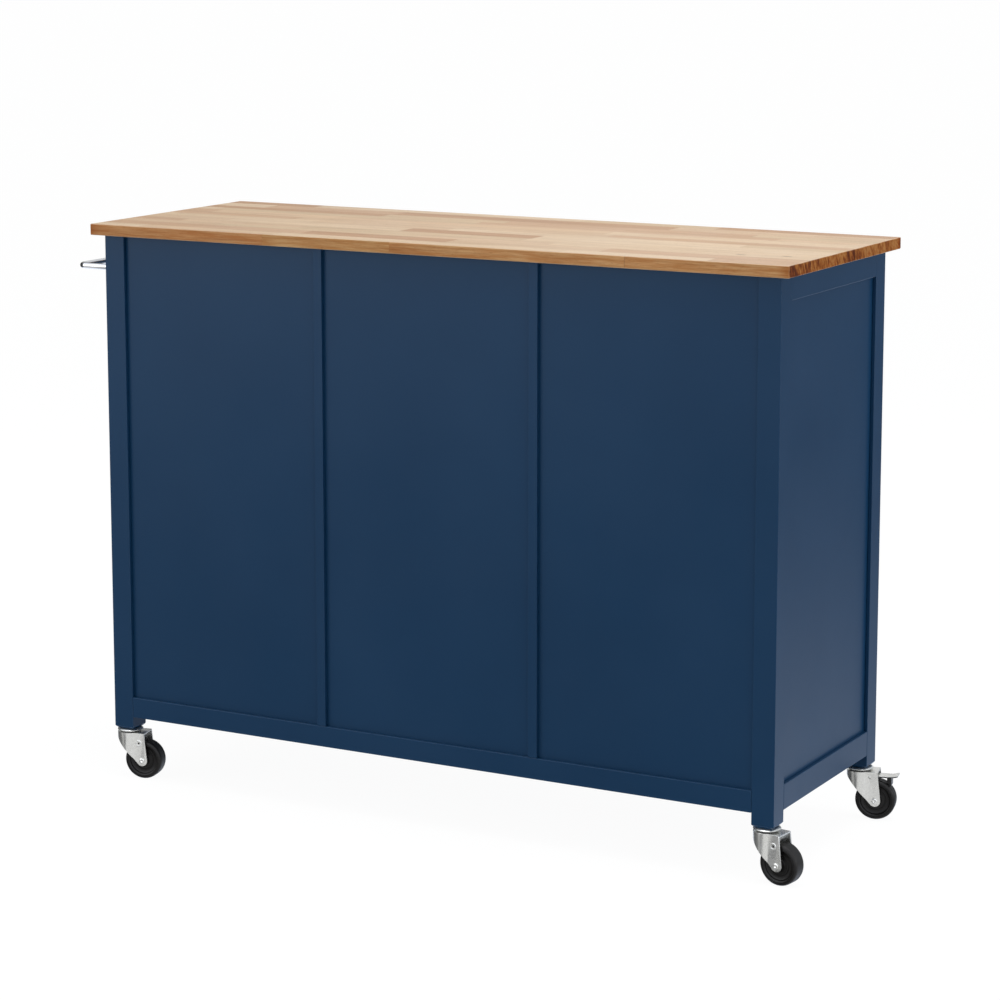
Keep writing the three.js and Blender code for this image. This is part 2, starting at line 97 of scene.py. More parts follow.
def addNode(tree, kind, inputs=None, **settings):
    node = tree.nodes.new("ShaderNode" + kind)
    for name, value in settings.items():
        setattr(node, name, value)
    for name, value in (inputs or {}).items():
        feed(tree, node.inputs[name], value)
    return node


def maths(tree, operation, first, second=0.0, third=0.0):
    node = addNode(tree, "Math", {0: first, 1: second, 2: third}, operation=operation)
    return node.outputs[0]


def vectorMaths(tree, operation, first, second):
    return addNode(tree, "VectorMath", {0: first, 1: second}, operation=operation).outputs[0]


def stretch(tree, vector, scale):
    return vectorMaths(tree, "MULTIPLY", vector, scale)


def noise(tree, vector, scale, detail=3.0, roughness=0.5):
    inputs = {"Vector": vector, "Scale": scale, "Detail": detail, "Roughness": roughness}
    return addNode(tree, "TexNoise", inputs).outputs["Fac"]


def spread(tree, value, fromLow, fromHigh, toLow, toHigh):
    inputs = {0: value, 1: fromLow, 2: fromHigh, 3: toLow, 4: toHigh}
    return addNode(tree, "MapRange", inputs).outputs[0]


def blendColour(tree, amount, first, second, mode="MIX"):
    node = addNode(tree, "Mix", data_type="RGBA", blend_type=mode)
    for index, value in ((0, amount), (6, first), (7, second)):
        feed(tree, node.inputs[index], value)
    return node.outputs[2]


def tinted(tree, tone, tint):
    return blendColour(tree, 1.0, tone, (*tint, 1), "MULTIPLY")


def colourRamp(tree, value, stops, stepped=False):
    node = addNode(tree, "ValToRGB", {"Fac": value})
    ramp = node.color_ramp
    ramp.interpolation = "CONSTANT" if stepped else "LINEAR"
    while len(ramp.elements) < len(stops):
        ramp.elements.new(1.0)
    for element, (place, colour) in zip(ramp.elements, stops):
        element.position = place
        element.color = (*colour, 1.0)
    return node.outputs["Color"]


def objectPlace(tree):
    return addNode(tree, "TexCoord").outputs["Object"]


def newGroup(name, sockets):
    tree = bpy.data.node_groups.new(name, "ShaderNodeTree")
    for socketName, direction, kind, value in sockets:
        kindName = "NodeSocket" + kind
        socket = tree.interface.new_socket(name=socketName, in_out=direction, socket_type=kindName)
        if value is not None:
            socket.default_value = value
    return tree, tree.nodes.new("NodeGroupInput").outputs, tree.nodes.new("NodeGroupOutput").inputs


def useGroup(tree, group, inputs):
    node = addNode(tree, "Group", node_tree=group)
    for name, value in inputs.items():
        feed(tree, node.inputs[name], value)
    return node.outputs


def makeEdgeWearAndHighlight():
    tree, given, made = newGroup("edgeWear", (
        ("Place", "INPUT", "Vector", None),
        ("Amount", "INPUT", "Float", 0.5),
        ("Patch", "INPUT", "Float", 60.0),
        ("Mask", "OUTPUT", "Float", None),
    ))
    edge = addNode(tree, "Attribute", attribute_name="edge").outputs["Fac"]
    patches = spread(tree, noise(tree, given["Place"], given["Patch"], 4.0, 0.6), 0.42, 0.62, 0.15, 1.0)
    wearAndHighlight = maths(tree, "MULTIPLY", edge, patches)
    tree.links.new(maths(tree, "MULTIPLY", wearAndHighlight, given["Amount"]), made["Mask"])
    return tree


def makeHandling():        # soft cloudy change of gloss, with finer specks over it
    tree, given, made = newGroup("handling", (
        ("Place", "INPUT", "Vector", None),
        ("Low", "INPUT", "Float", 0.3),
        ("High", "INPUT", "Float", 0.45),
        ("Size", "INPUT", "Float", 6.0),
        ("Gloss", "OUTPUT", "Float", None),
    ))
    clouds = noise(tree, given["Place"], given["Size"], 4.0, 0.6)
    specks = noise(tree, given["Place"], 420.0, 2.0, 0.5)
    both = maths(tree, "MULTIPLY_ADD", specks, 0.25, maths(tree, "MULTIPLY", clouds, 0.75))
    tree.links.new(spread(tree, both, 0.3, 0.7, given["Low"], given["High"]), made["Gloss"])
    return tree


def makeFibre():           # streaks and pores that run along X of the place given
    tree, given, made = newGroup("fibre", (
        ("Place", "INPUT", "Vector", None),
        ("Figure", "OUTPUT", "Float", None),
        ("Streaks", "OUTPUT", "Float", None),
        ("Pores", "OUTPUT", "Float", None),
    ))
    place = given["Place"]
    tree.links.new(noise(tree, stretch(tree, place, (5, 46, 46)), 1.0, 3.0, 0.5), made["Figure"])
    tree.links.new(noise(tree, stretch(tree, place, (9, 330, 330)), 1.0, 5.0, 0.65), made["Streaks"])
    dashes = noise(tree, stretch(tree, place, (130, 2300, 2300)), 1.0, 1.0, 0.5)
    tree.links.new(spread(tree, dashes, 0.66, 0.72, 0.0, 1.0), made["Pores"])
    return tree


def makeSpangle():         # crystal patches and hairline scratches of plated sheet metal
    tree, given, made = newGroup("spangle", (
        ("Place", "INPUT", "Vector", None),
        ("Patches", "OUTPUT", "Float", None),
        ("Scratches", "OUTPUT", "Float", None),
    ))
    cells = addNode(tree, "TexVoronoi", {"Vector": given["Place"], "Scale": 700.0}).outputs["Color"]
    level = addNode(tree, "SeparateColor", {0: cells}).outputs[0]
    tree.links.new(level, made["Patches"])
    lines = noise(tree, stretch(tree, given["Place"], (90, 1900, 700)), 1.0, 3.0, 0.6)
    tree.links.new(lines, made["Scratches"])
    return tree


edgeWear = makeEdgeWearAndHighlight()
handling = makeHandling()
fibre = makeFibre()
spangle = makeSpangle()


def newMaterial(name, settings):
    material = bpy.data.materials.new(name)
    material.use_nodes = True
    shader = material.node_tree.nodes["Principled BSDF"]
    for socket, value in settings.items():
        shader.inputs[socket].default_value = value
    return material, material.node_tree, shader


def addRelief(tree, shader, height, distance, strength=1.0):
    bump = addNode(tree, "Bump", {"Height": height, "Distance": distance, "Strength": strength})
    tree.links.new(bump.outputs["Normal"], shader.inputs["Normal"])


# blends faces flagged as edges towards a given tone: real wear on most parts, a painted highlight on the rear
# forks' stamped rings
def wearAndHighlightEdges(tree, tone, place, rubs, wearAndHighlight):
    amount, patch = rubs
    mask = useGroup(tree, edgeWear, {"Place": place, "Amount": amount, "Patch": patch})["Mask"]
    return blendColour(tree, mask, tone, (*wearAndHighlight, 1))


def handled(tree, place, gloss, size):
    low, high = gloss
    return useGroup(tree, handling, {"Place": place, "Low": low, "High": high, "Size": size})["Gloss"]


navyPaint = {
    "light": (0.0075, 0.0440, 0.109),
    "deep": (0.0055, 0.0385, 0.098),
    "rubbed": (0.030, 0.080, 0.160),
    "gloss": (0.29, 0.38),
    "specular": 0.22,
    "rubs": (0.35, 45.0),        # how far the edges are rubbed, and how patchily
    "peel": 0.00006,
}


def makeNavyPaint(values):
    material, tree, shader = newMaterial("navyPaint", {"Specular IOR Level": values["specular"]})
    place = objectPlace(tree)
    tone = spread(tree, noise(tree, place, 3.2, 3.0, 0.55), 0.3, 0.7, 0.0, 1.0)
    paint = blendColour(tree, tone, (*values["deep"], 1), (*values["light"], 1))
    paint = wearAndHighlightEdges(tree, paint, place, values["rubs"], values["rubbed"])
    tree.links.new(paint, shader.inputs["Base Color"])
    tree.links.new(handled(tree, place, values["gloss"], 5.0), shader.inputs["Roughness"])
    roller = noise(tree, place, 520.0, 2.0, 0.45)        # the fine peel that a sprayed coat dries to
    slow = noise(tree, stretch(tree, place, (14, 14, 5)), 1.0, 2.0, 0.5)
    height = maths(tree, "MULTIPLY_ADD", slow, 1.6, maths(tree, "MULTIPLY", roller, 0.5))
    addRelief(tree, shader, height, values["peel"], 0.8)
    return material


staves = {
    "width": 0.0355,
    "widthSway": 0.0045,
    "widthWave": 58.0,
    "length": 0.34,
    "lengthSway": 0.24,
    "lengthWave": 2.3,
    "rowStart": 17.3,        # how far the rows' joints are shuffled
    "cutSpread": (7, 7, 7),
    "tones": (
        (0.00, (0.590, 0.385, 0.235)),
        (0.16, (0.645, 0.460, 0.295)),
        (0.34, (0.690, 0.515, 0.340)),
        (0.50, (0.625, 0.460, 0.290)),
        (0.64, (0.715, 0.545, 0.370)),
        (0.82, (0.660, 0.470, 0.300)),
        (0.93, (0.500, 0.300, 0.170)),
    ),
    "figure": ((0.28, (0.86, 0.82, 0.78)), (0.55, (1, 1, 1)), (0.75, (1.0, 0.97, 0.93))),
    "streaks": ((0.32, (0.80, 0.74, 0.68)), (0.52, (1, 1, 1)), (0.7, (1, 0.99, 0.97))),
    "pore": (0.22, 0.12, 0.06),
    "knots": ((-0.487, 0.120), (-0.554, 0.107)),        # two pin knots near a rear corner
    "knotSize": (0.0080, 0.0024),
    "knot": (0.10, 0.040, 0.015),
    "edgeTint": (0.95, 0.76, 0.53),
    "edgeStreak": (0.74, 0.50, 0.30),
    "edgeStretch": (16, 150, 260),
    "oiledFrom": (0.585, 0.602),        # the ends soak up more oil
    "endTones": (
        (0.24, (0.055, 0.012, 0.003)),
        (0.38, (0.155, 0.034, 0.006)),
        (0.48, (0.300, 0.095, 0.016)),
        (0.59, (0.430, 0.190, 0.055)),
        (0.68, (0.290, 0.075, 0.010)),
        (0.84, (0.085, 0.017, 0.004)),
    ),
    "endSlant": 0.45,
    "endStretch": (60, 92, 34),
    "rowSeam": (0.489, 0.497),
    "endSeam": (0.4988, 0.4996),
    "seam": (0.20, 0.10, 0.05),
    "wearAndHighlight": (0.74, 0.56, 0.38),
    "gloss": (0.36, 0.52),
    "relief": 0.00008,
    "top": {"sheen": 0.32, "wear": 0.4},
    "sides": {"sheen": 0.10, "wear": 0.08},
}


def layStaves(tree, split, values):        # rows of unequal width, each with its own run of stave lengths
    sway = maths(tree, "SINE", maths(tree, "MULTIPLY", split["Y"], values["widthWave"]))
    sway = maths(tree, "MULTIPLY", sway, values["widthSway"])
    across = maths(tree, "DIVIDE", maths(tree, "ADD", split["Y"], sway), values["width"])
    row = maths(tree, "FLOOR", across)
    rowChance = addNode(tree, "TexWhiteNoise", {"W": row}, noise_dimensions="1D").outputs["Value"]
    run = maths(tree, "DIVIDE", split["X"], values["length"])
    start = maths(tree, "MULTIPLY_ADD", rowChance, values["rowStart"], run)
    drift = maths(tree, "SINE", maths(tree, "MULTIPLY", start, values["lengthWave"]))
    along = maths(tree, "ADD", start, maths(tree, "MULTIPLY", drift, values["lengthSway"]))
    cell = addNode(tree, "CombineXYZ", {0: maths(tree, "FLOOR", along), 1: row, 2: 0.0}).outputs[0]
    chance = addNode(tree, "TexWhiteNoise", {"Vector": cell}, noise_dimensions="3D").outputs
    return across, along, chance


def faceGrain(tree, chance, grain, values):
    tone = colourRamp(tree, chance["Value"], values["tones"], stepped=True)
    tone = blendColour(tree, 1.0, tone, colourRamp(tree, grain["Figure"], values["figure"]), "MULTIPLY")
    tone = blendColour(tree, 0.75, tone, colourRamp(tree, grain["Streaks"], values["streaks"]), "MULTIPLY")
    return blendColour(tree, maths(tree, "MULTIPLY", grain["Pores"], 0.45), tone, (*values["pore"], 1))


def edgeGrain(tree, tone, cut, split, values):        # the long edges take more oil, in bands
    oiled = tinted(tree, tone, values["edgeTint"])
    streaks = noise(tree, stretch(tree, cut, values["edgeStretch"]), 1.0, 4.0, 0.65)
    bands = spread(tree, streaks, 0.40, 0.62, 0.75, 0.0)
    oiled = blendColour(tree, bands, oiled, tinted(tree, oiled, values["edgeStreak"]))
    nearEnd = spread(tree, maths(tree, "ABSOLUTE", split["X"]), *values["oiledFrom"], 0.0, 0.8)
    return blendColour(tree, nearEnd, oiled, tinted(tree, oiled, values["edgeStreak"]))


def endGrain(tree, cut, chance, values):
    slanted = addNode(tree, "Mapping", {"Vector": cut, "Rotation": (values["endSlant"], 0, 0)}).outputs[0]
    rings = noise(tree, stretch(tree, slanted, values["endStretch"]), 1.0, 5.0, 0.66)
    level = maths(tree, "MULTIPLY_ADD", rings, 1.15, maths(tree, "MULTIPLY", chance["Value"], 0.26))
    return colourRamp(tree, maths(tree, "SUBTRACT", level, 0.18), values["endTones"])


def addKnots(tree, tone, place, values):
    long, wide = values["knotSize"]
    for knotX, knotY in values["knots"]:
        away = stretch(tree, vectorMaths(tree, "SUBTRACT", place, (knotX, knotY, 0)), (1 / long, 1 / wide, 0))
        away = addNode(tree, "SeparateXYZ", {0: away}).outputs
        squared = maths(tree, "MULTIPLY", away["Y"], away["Y"])
        squared = maths(tree, "MULTIPLY_ADD", away["X"], away["X"], squared)
        tone = blendColour(tree, spread(tree, squared, 0.4, 1.5, 0.9, 0.0), tone, (*values["knot"], 1))
    return tone


def glueLine(tree, count, fromMiddle):        # 1 where one stave meets the next
    middle = maths(tree, "SUBTRACT", maths(tree, "FRACT", count), 0.5)
    return spread(tree, maths(tree, "ABSOLUTE", middle), *fromMiddle, 0.0, 1.0)


def makeWorktopWood(name, values, surface):
    material, tree, shader = newMaterial(name, {"Specular IOR Level": surface["sheen"]})
    place = objectPlace(tree)
    split = addNode(tree, "SeparateXYZ", {0: place}).outputs
    across, along, chance = layStaves(tree, split, values)
    cut = vectorMaths(tree, "ADD", place, stretch(tree, chance["Color"], values["cutSpread"]))
    grain = useGroup(tree, fibre, {"Place": cut})
    plain = faceGrain(tree, chance, grain, values)
    oiled = edgeGrain(tree, plain, cut, split, values)
    facing = addNode(tree, "SeparateXYZ", {0: addNode(tree, "TexCoord").outputs["Normal"]}).outputs
    flat = spread(tree, maths(tree, "ABSOLUTE", facing["Z"]), 0.35, 0.85, 0.0, 1.0)
    end = spread(tree, maths(tree, "ABSOLUTE", facing["X"]), 0.45, 0.80, 0.0, 1.0)
    tone = blendColour(tree, flat, oiled, addKnots(tree, plain, place, values))
    tone = blendColour(tree, end, tone, endGrain(tree, cut, chance, values))
    rowSeam = glueLine(tree, across, values["rowSeam"])
    seam = maths(tree, "MAXIMUM", rowSeam, glueLine(tree, along, values["endSeam"]))
    tone = blendColour(tree, maths(tree, "MULTIPLY", seam, 0.38), tone, (*values["seam"], 1))
    tone = wearAndHighlightEdges(tree, tone, place, (surface["wear"], 30.0), values["wearAndHighlight"])
    tree.links.new(tone, shader.inputs["Base Color"])
    gloss = handled(tree, place, values["gloss"], 4.0)
    gloss = maths(tree, "MULTIPLY_ADD", grain["Pores"], 0.2, gloss)
    gloss = maths(tree, "MULTIPLY_ADD", end, 0.28, gloss)
    tree.links.new(gloss, shader.inputs["Roughness"])
    dips = maths(tree, "MULTIPLY_ADD", grain["Pores"], -1.0, maths(tree, "MULTIPLY", grain["Streaks"], 0.5))
    dips = maths(tree, "MULTIPLY_ADD", seam, -1.2, dips)
    addRelief(tree, shader, dips, values["relief"], 0.7)
    return material


drawerWood = {
    "pale": (0.66, 0.50, 0.32),
    "warm": (0.52, 0.36, 0.20),
    "streaks": ((0.3, (0.78, 0.72, 0.66)), (0.55, (1, 1, 1))),
    "pore": (0.2, 0.11, 0.05),
    "wearAndHighlight": (0.75, 0.60, 0.42),
    "rubs": (0.5, 50.0),
    "gloss": (0.45, 0.62),
    "relief": 0.0001,
}


def makeDrawerWood(values):
    material, tree, shader = newMaterial("drawerWood", {"Specular IOR Level": 0.35})
    place = objectPlace(tree)
    split = addNode(tree, "SeparateXYZ", {0: place}).outputs
    sideways = addNode(tree, "CombineXYZ", {0: split["Y"], 1: split["X"], 2: split["Z"]}).outputs[0]
    facing = addNode(tree, "SeparateXYZ", {0: addNode(tree, "TexCoord").outputs["Normal"]}).outputs
    side = spread(tree, maths(tree, "ABSOLUTE", facing["X"]), 0.4, 0.6, 0.0, 1.0)
    lying = addNode(tree, "Mix", data_type="VECTOR")        # the side boards' grain runs front to back
    for index, value in ((0, side), (4, place), (5, sideways)):
        feed(tree, lying.inputs[index], value)
    grain = useGroup(tree, fibre, {"Place": lying.outputs[1]})
    figure = spread(tree, grain["Figure"], 0.3, 0.7, 0.0, 1.0)
    tone = blendColour(tree, figure, (*values["warm"], 1), (*values["pale"], 1))
    tone = blendColour(tree, 0.8, tone, colourRamp(tree, grain["Streaks"], values["streaks"]), "MULTIPLY")
    tone = blendColour(tree, maths(tree, "MULTIPLY", grain["Pores"], 0.4), tone, (*values["pore"], 1))
    tone = wearAndHighlightEdges(tree, tone, place, values["rubs"], values["wearAndHighlight"])
    tree.links.new(tone, shader.inputs["Base Color"])
    tree.links.new(handled(tree, place, values["gloss"], 7.0), shader.inputs["Roughness"])
    dips = maths(tree, "MULTIPLY_ADD", grain["Pores"], -1.0, maths(tree, "MULTIPLY", grain["Streaks"], 0.6))
    addRelief(tree, shader, dips, values["relief"], 0.6)
    return material


metals = {
    "zincSteel": {
        "slot": "zinc_steel", "light": (0.81, 0.81, 0.77), "dark": (0.71, 0.71, 0.68),
        "gloss": (0.22, 0.30), "scratch": 0.05, "relief": 0.000006, "metallic": 0.85,
    },
    "chromeBar": {
        "slot": "chrome_bar", "light": (0.78, 0.79, 0.80), "dark": (0.68, 0.69, 0.71),
        "gloss": (0.06, 0.13), "scratch": 0.04, "relief": 0.000006, "metallic": 1.0,
    },
    "satinNickel": {
        "slot": "knob_metal", "light": (0.66, 0.63, 0.58), "dark": (0.54, 0.51, 0.47),
        "gloss": (0.24, 0.36), "scratch": 0.12, "relief": 0.000015, "metallic": 0.95,
    },
}
# edge tone of bare metal: real rubbing on bevels, and a painted highlight on the rear forks' stamped rings
bareMetal = {"wearAndHighlight": (0.86, 0.87, 0.87), "rubs": (0.6, 160.0)}


def makeMetal(name, values):
    material, tree, shader = newMaterial(name, {"Metallic": values["metallic"]})
    place = objectPlace(tree)
    plate = useGroup(tree, spangle, {"Place": place})
    tone = blendColour(tree, plate["Patches"], (*values["dark"], 1), (*values["light"], 1))
    clouds = noise(tree, place, 90.0, 3.0, 0.6)
    tone = blendColour(tree, spread(tree, clouds, 0.45, 0.7, 0.0, 0.35), tone, (*values["dark"], 1))
    tone = wearAndHighlightEdges(tree, tone, place, bareMetal["rubs"], bareMetal["wearAndHighlight"])
    tree.links.new(tone, shader.inputs["Base Color"])
    gloss = handled(tree, place, values["gloss"], 60.0)
    gloss = maths(tree, "MULTIPLY_ADD", plate["Scratches"], values["scratch"], gloss)
    tree.links.new(gloss, shader.inputs["Roughness"])
    addRelief(tree, shader, plate["Scratches"], values["relief"], 0.5)
    return material


rubbers = {
    "hardRubber": {"black": (0.0065, 0.0060, 0.0055), "dusty": (0.020, 0.019, 0.018), "gloss": (0.30, 0.46)},
    "blackPlastic": {"black": (0.012, 0.012, 0.012), "dusty": (0.040, 0.040, 0.042), "gloss": (0.30, 0.45)},
}
moulded = {"sheen": 0.27, "rubs": (0.5, 200.0), "scuff": 0.15, "relief": 0.00004}


def makeRubber(name, values):
    material, tree, shader = newMaterial(name, {"Specular IOR Level": moulded["sheen"]})
    place = objectPlace(tree)
    mottle = spread(tree, noise(tree, place, 140.0, 4.0, 0.6), 0.4, 0.75, 0.0, 0.30)
    tone = blendColour(tree, mottle, (*values["black"], 1), (*values["dusty"], 1))
    tread = addNode(tree, "Attribute", attribute_name="tread").outputs["Fac"]
    scuffs = spread(tree, noise(tree, place, 320.0, 4.0, 0.65), 0.35, 0.65, 0.35, 1.0)
    tone = blendColour(tree, maths(tree, "MULTIPLY", tread, scuffs), tone, (*values["dusty"], 1))
    tone = wearAndHighlightEdges(tree, tone, place, moulded["rubs"], values["dusty"])
    tree.links.new(tone, shader.inputs["Base Color"])
    gloss = maths(tree, "MULTIPLY_ADD", tread, moulded["scuff"], handled(tree, place, values["gloss"], 80.0))
    tree.links.new(gloss, shader.inputs["Roughness"])
    addRelief(tree, shader, noise(tree, place, 1500.0, 2.0, 0.5), moulded["relief"], 0.5)
    return material


finishes = {
    "navy_paint": makeNavyPaint(navyPaint),
    "worktop_wood": makeWorktopWood("worktopWood", staves, staves["top"]),
    "drawer_wood": makeDrawerWood(drawerWood),
    "wheel_rubber": makeRubber("hardRubber", rubbers["hardRubber"]),
}
for metalName, metalValues in metals.items():
    finishes[metalValues["slot"]] = makeMetal(metalName, metalValues)
# black plastic of the brake shoes and door catches, also used as painted shade on the forks' bearing races
# and mark dots
blackPlastic = makeRubber("blackPlastic", rubbers["blackPlastic"])
worktopSides = makeWorktopWood("worktopSides", staves, staves["sides"])
print("materials made")


def bodyOf(node):
    return frame["nodes"][node].parent.name.removeprefix("body:")


def finishPiece(name, shape, body, slot, replaced=(), extra=(), smoothAngle=35):
    mesh = bpy.data.meshes.new(name)
    shape.to_mesh(mesh)
    shape.free()
    for material in (finishes[slot], *extra):
        mesh.materials.append(material)
    mesh.shade_smooth()
    mesh.set_sharp_from_angle(angle=math.radians(smoothAngle))
    piece = bpy.data.objects.new(name, mesh)
    bpy.context.scene.collection.objects.link(piece)
    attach(piece, body)
    if replaced:
        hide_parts(*replaced)
    return piece


def mergedCopy(node):        # the node's own shape, with its flat faces whole again
    shape = bmesh.new()
    shape.from_mesh(frame["nodes"][node].data)
    bmesh.ops.remove_doubles(shape, verts=shape.verts, dist=0.002 * mm)
    bmesh.ops.dissolve_limit(shape, angle_limit=math.radians(0.5), verts=shape.verts, edges=shape.edges)
    bmesh.ops.recalc_face_normals(shape, faces=shape.faces)
    return shape


def easeEdges(shape, ease, segments=2, fromAngle=30):        # rounds the corners sharper than fromAngle
    layer = shape.faces.layers.float.new("edge")
    limit = math.radians(fromAngle)
    sharp = [e for e in shape.edges if len(e.link_faces) == 2 and e.calc_face_angle(0) > limit]
    made = bmesh.ops.bevel(
        shape, geom=sharp, offset=ease, offset_type="OFFSET", affect="EDGES",
        segments=segments, profile=0.5, material=-1, clamp_overlap=True,
    )
    for face in made["faces"]:
        face[layer] = 1.0
    return shape


def evenNormals(piece):        # keeps flat faces flat beside their rounded edges
    modifier = piece.modifiers.new("evenNormals", "WEIGHTED_NORMAL")
    modifier.keep_sharp = True
    modifier.weight = 100


def softBoard(node, slot, ease, segments=2, sides=None):
    shape = easeEdges(mergedCopy(node), ease, segments)
    if sides:
        for face in shape.faces:
            face.material_index = 1 if abs(face.normal.z) < boards["topFrom"] else 0
    piece = finishPiece(node + "_soft", shape, bodyOf(node), slot, [node], [sides] if sides else ())
    evenNormals(piece)
    return piece


def turned(profile, steps=48):        # a profile of radius and height, spun round Z
    shape = bmesh.new()
    verts = [shape.verts.new((r * mm, 0, z * mm)) for r, z in profile]
    edges = [shape.edges.new(pair) for pair in zip(verts, verts[1:])]
    bmesh.ops.spin(
        shape, geom=verts + edges, cent=(0, 0, 0), axis=(0, 0, 1), angle=math.tau,
        steps=steps, use_merge=True, use_duplicate=False,
    )
    bmesh.ops.remove_doubles(shape, verts=shape.verts, dist=0.001 * mm)
    bmesh.ops.recalc_face_normals(shape, faces=shape.faces)
    return shape


def box(low, high, ease=0.0):
    shape = bmesh.new()
    low, high = Vector(low), Vector(high)
    bmesh.ops.create_cube(shape, size=1.0)
    bmesh.ops.scale(shape, vec=high - low, verts=shape.verts)
    bmesh.ops.translate(shape, vec=(low + high) / 2, verts=shape.verts)
    if ease:
        easeEdges(shape, ease)
    return shape


def raised(profile, height):
    return [(r, height + z) for r, z in profile]


def mirroredDown(profile):        # a profile of the upper half, closed by the lower half
    return [*profile, *[(r, -z) for r, z in reversed(profile)]]


def gather(shapes):
    whole = bmesh.new()
    whole.faces.layers.float.new("edge")
    for shape in shapes:
        part = bpy.data.meshes.new("part")
        shape.to_mesh(part)
        shape.free()
        whole.from_mesh(part)
        bpy.data.meshes.remove(part)
    return whole


def moved(shape, matrix):
    bmesh.ops.transform(shape, matrix=matrix, verts=shape.verts)
    return shape


boards = {
    "ease": 0.9 * mm,
    "worktopEase": 1.6 * mm,
    "drawerEase": 0.7 * mm,
    "groovedEase": {"side_panel": 0.12 * mm, "partition": 0.4 * mm},        # their grooves leave thin lips
    "topFrom": 0.6,        # faces that look up more than this are the worktop's top and underside
}


def paintedEase(node):
    return boards["groovedEase"].get(node.rsplit("_", 1)[0], boards["ease"])


for nodeName in sorted(frame["nodes"]):
    source = frame["nodes"][nodeName].data.materials[0].name
    if source == "navy_paint":
        softBoard(nodeName, "navy_paint", paintedEase(nodeName))
    elif nodeName == "worktop":
        softBoard(nodeName, "worktop_wood", boards["worktopEase"], 3, worktopSides)
    elif source == "drawer_wood":
        softBoard(nodeName, "drawer_wood", boards["drawerEase"])
print("boards softened")

finishPiece("towel_bar_round", mergedCopy("towel_bar"), "root", "chrome_bar", ["towel_bar"], smoothAngle=50)

knob = {        # in millimetres; each profile is a list of radius and height
    "dome": ((0, 26.0), (4, 25.9)),
    "ring": ((6.9, 25.65), (7.2, 25.2), (7.5, 25.58)),        # a fine groove round the face
    "body": (
        (8, 25.5), (11, 24.7), (13.4, 23.2), (14.7, 21.2), (15, 19.4), (14.6, 17.9),
        (13.2, 16.4), (10.6, 14.4), (8, 12.2), (6.5, 9.9), (6, 7.5), (6.1, 5.4), (6.6, 4.2), (7.6, 3.2),
        (8.9, 2.6), (9, 1.2), (8.7, 0.35), (2, 0.35),
    ),
    "reach": 26,
    "screwHead": ((2, 2.3), (3.9, 2.3), (4.4, 1.9), (3.9, 0.5), (2.6, 0.05), (0, 0.05)),        # from its end
    "steps": 40,
}


def makeKnob(node):
    low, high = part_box(node)
    centre = (low + high) / 2
    root = low.y + knob["reach"] * mm        # the face that the knob stands on
    back = (high.y - root) / mm
    profile = [*knob["dome"], *knob["ring"], *knob["body"], *raised(knob["screwHead"], -back)]
    place = Matrix.Translation((centre.x, root, centre.z)) @ Matrix.Rotation(math.radians(90), 4, "X")
    shape = moved(turned(profile, knob["steps"]), place)
    finishPiece(node + "_turned", shape, bodyOf(node), "knob_metal", [node])


for nodeName in sorted(frame["nodes"]):
    if "knob" in nodeName:
        makeKnob(nodeName)
print("knobs turned")

hinge = {        # in millimetres
    "axis": 3.5,        # from the outer faces of the hinge's box
    "barrel": 3.3,
    "chamfer": 0.4,
    "knuckles": 5,
    "steps": 24,
    "gap": 0.25,
    "leaf": 0.85,
    "leafFrom": 1.2,
    "leafEase": 0.25,
    "screws": (0.16, 0.5, 0.84),        # shares of the leaf's length
    "screwBack": 2,
    "screw": ((0, 0.1), (0.5, 0.0), (1.0, 0.25), (2.1, 0.35), (2.6, 0)),
    "screwSteps": 20,
}


def hingeKnuckles(numbers, low, length, axis):
    step = length / hinge["knuckles"]
    r, ease = hinge["barrel"], hinge["chamfer"]
    shapes = []
    for number in numbers:
        bottom = low + number * step + hinge["gap"]
        top = low + (number + 1) * step - hinge["gap"]
        profile = (
            (0, bottom), (r - ease, bottom), (r, bottom + ease),
            (r, top - ease), (r - ease, top), (0, top),
        )
        knuckle = turned(profile, hinge["steps"])
        shapes.append(moved(knuckle, Matrix.Translation((axis[0], axis[1], 0))))
    return shapes


def hingeLeaf(xInner, xOuter, yFrom, yTo, low, length, side):
    lowCorner = (min(xInner, xOuter), yFrom, low * mm)
    highCorner = (max(xInner, xOuter), yTo, (low + length) * mm)
    shapes = [box(lowCorner, highCorner, hinge["leafEase"] * mm)]
    middle = (yFrom + yTo) / 2 + hinge["screwBack"] * mm
    for share in hinge["screws"]:
        head = turned(hinge["screw"], hinge["screwSteps"])
        place = Matrix.Translation((xInner, middle, (low + share * length) * mm))
        shapes.append(moved(head, place @ Matrix.Rotation(math.radians(90 * side), 4, "Y")))
    return shapes


def makeHinge(node, side):
    low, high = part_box(node)
    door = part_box("door_" + side)
    outward = -1 if side == "left" else 1
    barrelX = low.x + hinge["axis"] * mm if outward > 0 else high.x - hinge["axis"] * mm
    axis = (barrelX, low.y + hinge["axis"] * mm)
    base, length = low.z / mm, (high.z - low.z) / mm
    legFace = high.x if outward > 0 else low.x
    doorFace = door[1].x if outward > 0 else door[0].x
    leafStart = axis[1] + hinge["leafFrom"] * mm
    leaf = outward * hinge["leaf"] * mm
    fixed = hingeKnuckles((0, 2, 4), base, length, axis)
    fixed += hingeLeaf(legFace - leaf, legFace, leafStart, high.y, base, length, -outward)
    finishPiece(node + "_fixed", gather(fixed), "root", "knob_metal", [node])
    moving = hingeKnuckles((1, 3), base, length, axis)
    moving += hingeLeaf(doorFace + leaf, doorFace, leafStart, high.y, base, length, outward)
    finishPiece(node + "_moving", gather(moving), "door_" + side, "knob_metal")


for side in ("left", "right"):
    for level in ("lower", "upper"):
        makeHinge(f"hinge_{level}_{side}", side)
print("hinges made")

